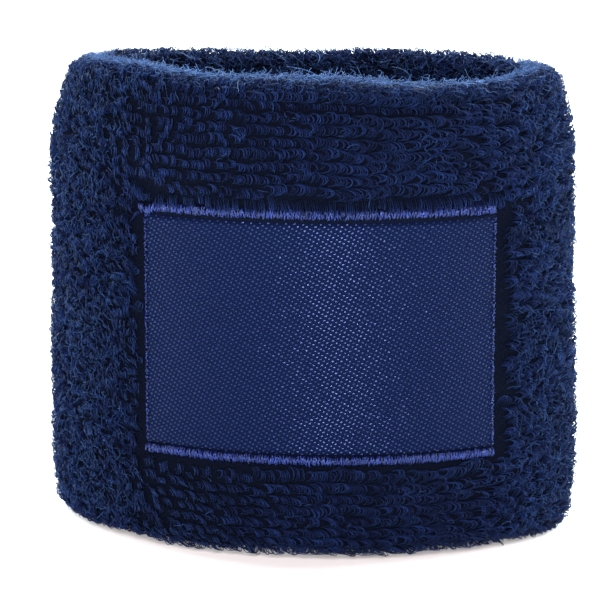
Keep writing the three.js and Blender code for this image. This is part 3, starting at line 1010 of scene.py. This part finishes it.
def satin_points():
    """The binding points of a five-end satin: short humps of weft over one warp thread."""
    columns = int((LABEL_WIDTH - 1.0) / WARP_PITCH)
    rows = int((LABEL_HEIGHT - 2 * BORDER - 0.6 - UNDER_BORDER) / PICK_PITCH)
    i, j = np.meshgrid(np.arange(columns), np.arange(rows), indexing="ij")
    bound = (i + SATIN_STEP * j) % SATIN_REPEAT == 0
    rng = np.random.default_rng(31)
    i, j = i[bound], j[bound]
    s = LABEL_LEFT + 0.5 + (i + 0.5) * WARP_PITCH + rng.normal(0, 0.02, i.size)
    z = LABEL_BOTTOM + BORDER + 0.3 + (j + 0.5) * PICK_PITCH + rng.normal(0, 0.02, i.size)
    reach = FLOAT_HALF * (1 + rng.normal(0, 0.1, (i.size, 1))) * np.linspace(-1, 1, 2)
    slope = 0.2 + rng.normal(0, 0.12, (i.size, 1))
    line_s = s[:, None] + reach
    line_z = z[:, None] + reach * slope
    yaw = rng.normal(0, 0.045, (i.size, 1))
    paths = face_points(line_s, line_z, label_depth(line_s, line_z) + 0.01 + reach * yaw)
    radius = FLOAT_RADIUS * (1 + rng.normal(0, 0.1, i.size))
    return yarn("label_weave_points", paths, radius, 8, satin_material,
                rng.normal(0, 0.4, i.size), flat=FLOAT_FLAT, crisp=True)


# ---- stitching

THREAD_RADIUS = 0.05
PLY_TURN = 0.7  # length of thread in which the two plies go once round each other
BORDER_PITCH = 0.17
BORDER_RISE = 0.42  # height of the stitches' arches above the cloth
CORNER_OVERRUN = 0.7  # how far the upper border starts before the label's left edge
SIDE_PITCH = 0.26
SIDE_RISE = 0.28
SIDE_HALF_WIDTH = 0.22
SIDE_INSET = 0.25
BOBBIN_PITCH = 0.3
BOBBIN_RISE = 0.12
BOBBIN_SINK = 0.2


def corner_dip(s):
    """The upper border sinks a little where it turns the label's left corner."""
    return 0.1 - 0.5 * near(s, LABEL_LEFT + 0.5, 1.0)


def zigzag(name, seed, node, centre, ends, half_width, pitch, rise, upright=False, depth=None, sag=None):
    """Close zigzag stitches: each is a short arch of thread across the line from ends[0] to ends[1]."""
    rng = np.random.default_rng(seed)
    count = int((ends[1] - ends[0]) / pitch)
    where = ends[0] + (np.arange(count) + 0.5) * pitch + rng.normal(0, pitch * 0.3, count)
    slant = np.where(np.arange(count) % 2, 1, -1) * 0.3 + rng.normal(0, 0.2, count)
    reach = half_width * (1.2 + rng.normal(0, 0.15, count))[:, None]
    t = np.linspace(-1, 1, 12)
    shift = centre + rng.normal(0, 0.04, (count, 1)) + (sag(where)[:, None] if sag else 0)
    lift = rise * (1 - t ** 4) * (1 + rng.normal(0, 0.2, (count, 1)))
    start = rng.uniform(0, 2 * math.pi, (count, 1))
    plies = []
    for ply in range(2):
        turn = start + ply * math.pi + 2 * math.pi * reach * t / PLY_TURN
        line_along = where[:, None] + slant[:, None] * t / 2 + THREAD_RADIUS * np.cos(turn)
        line_across = shift + reach * t
        line_s, line_z = (line_across, line_along) if upright else (line_along, line_across)
        floor = label_depth(line_s, line_z) if depth is None else depth
        plies.append(face_points(line_s, line_z, floor + 0.05 - lift - THREAD_RADIUS * np.sin(turn)))
    radius = THREAD_RADIUS * (1 + rng.normal(0, 0.08, 2 * count))
    # strand tones spread wide from dark to bright: partly the thread's own tone, partly painted glints
    piece = yarn(name, np.concatenate(plies), radius, 5, thread_material,
                 rng.normal(-0.3, 1.2, 2 * count))
    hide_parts(node)


def border_stitching():
    """The zigzag along the label's upper and lower edges."""
    for seed, node, overrun, sag in (
        (41, "label_stitch_top", CORNER_OVERRUN, corner_dip),
        (42, "label_stitch_bottom", 0, None),
    ):
        low, high = cad_box(node)
        zigzag(node + "_zigzag", seed, node, (low.z + high.z) / 2, (LABEL_LEFT - overrun, LABEL_RIGHT),
               (high.z - low.z) / 2, BORDER_PITCH, BORDER_RISE, sag=sag)


def side_stitching():
    """The small stitches down the label's two sides."""
    for seed, node, arc in (
        (43, "label_stitch_left", LABEL_LEFT + SIDE_INSET),
        (44, "label_stitch_right", LABEL_RIGHT - SIDE_INSET),
    ):
        low, high = cad_box(node)
        zigzag(node + "_thread", seed, node, arc, (low.z, high.z), SIDE_HALF_WIDTH, SIDE_PITCH, SIDE_RISE,
               upright=True)


def bobbin_threads():
    """The zigzag's under-thread, behind the outer layer."""
    for seed, node in ((45, "bobbin_thread_top"), (46, "bobbin_thread_bottom")):
        low, high = cad_box(node)
        zigzag(node + "_zigzag", seed, node, (low.z + high.z) / 2, (LABEL_LEFT, LABEL_RIGHT),
               (high.z - low.z) / 2, BOBBIN_PITCH, BOBBIN_RISE, depth=HALF_DEPTH + low.y + BOBBIN_SINK)


# ---- seam and elastic inside

SEAM_PITCH = 1.1
SEAM_HALF = 1.35  # how far the overlock thread reaches each side of the seam
SEAM_RADIUS = 0.13
ELASTIC_RADIUS = 0.12
ELASTIC_OFFSET = 0.11  # from the ring's middle to the middle of each ply
ELASTIC_TURN = 2.4


def closing_seam():
    """Overlock thread: one loop after another round the two raw ends."""
    count = int(PERIMETER / SEAM_PITCH)
    rng = np.random.default_rng(51)
    s = np.arange(count) / count * PERIMETER - PERIMETER / 2
    t = np.linspace(0, 2 * math.pi, 13)
    line_s = s[:, None] + SEAM_PITCH * t / (2 * math.pi) + rng.normal(0, 0.04, (count, 1))
    line_q = SEAM_Q + SEAM_HALF * np.cos(t)[None, :] * (1 + rng.normal(0, 0.05, (count, 1)))
    height = 0.25 + 0.35 * np.sin(t)[None, :]
    paths = wall_frame(line_s, line_q, height)[0]
    piece = yarn("closing_seam_overlock", paths, SEAM_RADIUS, 6, seam_material,
                 rng.normal(0.3, 0.4, count))
    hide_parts("closing_seam_thread")


def elastic_yarns():
    """Each ring is a pair of plied covered threads."""
    s = np.linspace(0, PERIMETER, 361) - PERIMETER / 2
    turn = s / ELASTIC_TURN * 2 * math.pi
    for node in sorted(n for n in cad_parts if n.startswith("elastic_yarn")):
        low, high = cad_box(node)
        z = (low.z + high.z) / 2
        depth = WALL / 2 + lean(z)
        paths = []
        for phase in (0, math.pi):
            x, y = plan(s, depth + ELASTIC_OFFSET * np.cos(turn + phase))
            paths.append(np.stack([x, y, z + ELASTIC_OFFSET * np.sin(turn + phase)], -1))
        piece = yarn(node + "_plied", np.stack(paths), ELASTIC_RADIUS, 6, elastic_material,
                     np.zeros(2))
        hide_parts(node)


# ---- build

ground = ground_knit()
pile = outer_pile() + inner_pile()
fuzz = all_fuzz()
label = woven_label()
satin = satin_points()
border_stitching()
side_stitching()
bobbin_threads()
closing_seam()
elastic_yarns()

# ---- studio

FLOOR_HALF = 6.0
BACK_GLOW = 1.1  # the world's strength behind the band and in front of it
FRONT_GLOW = 0.05
COOL_WHITE = (0.75, 0.95, 1.0)


def make_floor():
    """A wide pale floor, white enough to melt into the background."""
    material, tree, shader = new_material("studio_floor")
    grain = blend(tree, noise(tree, 3.0), (0.86, 0.86, 0.86, 1), (0.9, 0.9, 0.9, 1))
    tree.links.new(grain, shader.inputs["Base Color"])
    set_shader(shader, {"Roughness": 0.9, "Specular IOR Level": 0.1})
    set_shader(shader, {"Emission Color": (1, 1, 1, 1), "Emission Strength": 0.2})
    mesh = bpy.data.meshes.new("studio_floor")
    corners = [(x * FLOOR_HALF, y * FLOOR_HALF, 0) for x, y in ((-1, -1), (1, -1), (1, 1), (-1, 1))]
    mesh.from_pydata(corners, [], [(0, 1, 2, 3)])
    mesh.materials.append(material)
    floor = bpy.data.objects.new("studio_floor", mesh)
    bpy.context.scene.collection.objects.link(floor)


def soft_light(name, place, size, power, colour):
    """A rectangular light that faces the band."""
    data = bpy.data.lights.new(name, "AREA")
    data.shape = "RECTANGLE"
    data.size, data.size_y = size
    data.energy = power
    data.color = colour
    light = bpy.data.objects.new(name, data)
    light.location = place
    aim = Vector((0, 0, 0.03)) - Vector(place)
    light.rotation_euler = aim.to_track_quat("-Z", "Y").to_euler()
    bpy.context.scene.collection.objects.link(light)


def make_studio():
    """A world that glows from behind, the floor, three large soft lights and the strip the satin catches."""
    scene = bpy.context.scene
    scene.view_settings.view_transform = "Standard"
    world = bpy.data.worlds.new("studio_world")
    scene.world = world
    world.use_nodes = True
    tree = world.node_tree
    background = tree.nodes["Background"]
    direction = put(tree, "ShaderNodeTexCoord").outputs["Generated"]
    back = put(tree, "ShaderNodeSeparateXYZ", {0: direction}).outputs[1]
    fall = put(tree, "ShaderNodeMapRange", {"Value": back, 1: -0.1, 2: 0.45, 3: FRONT_GLOW, 4: BACK_GLOW})
    fall.interpolation_type = "SMOOTHSTEP"
    background.inputs["Color"].default_value = (1, 1, 1, 1)
    tree.links.new(fall.outputs[0], background.inputs["Strength"])
    make_floor()
    soft_light("top_softbox", (0.0, 0.5, 0.62), (0.8, 0.4), 26, (0.85, 0.95, 1.0))
    soft_light("left_softbox", (-0.6, 0.3, 0.3), (0.4, 0.6), 9, COOL_WHITE)
    soft_light("right_softbox", (0.6, 0.3, 0.3), (0.4, 0.6), 9, COOL_WHITE)
    soft_light("front_strip", (0.02, -0.8, 0.38), (0.1, 0.7), 15, (1.0, 0.88, 0.88))


make_studio()
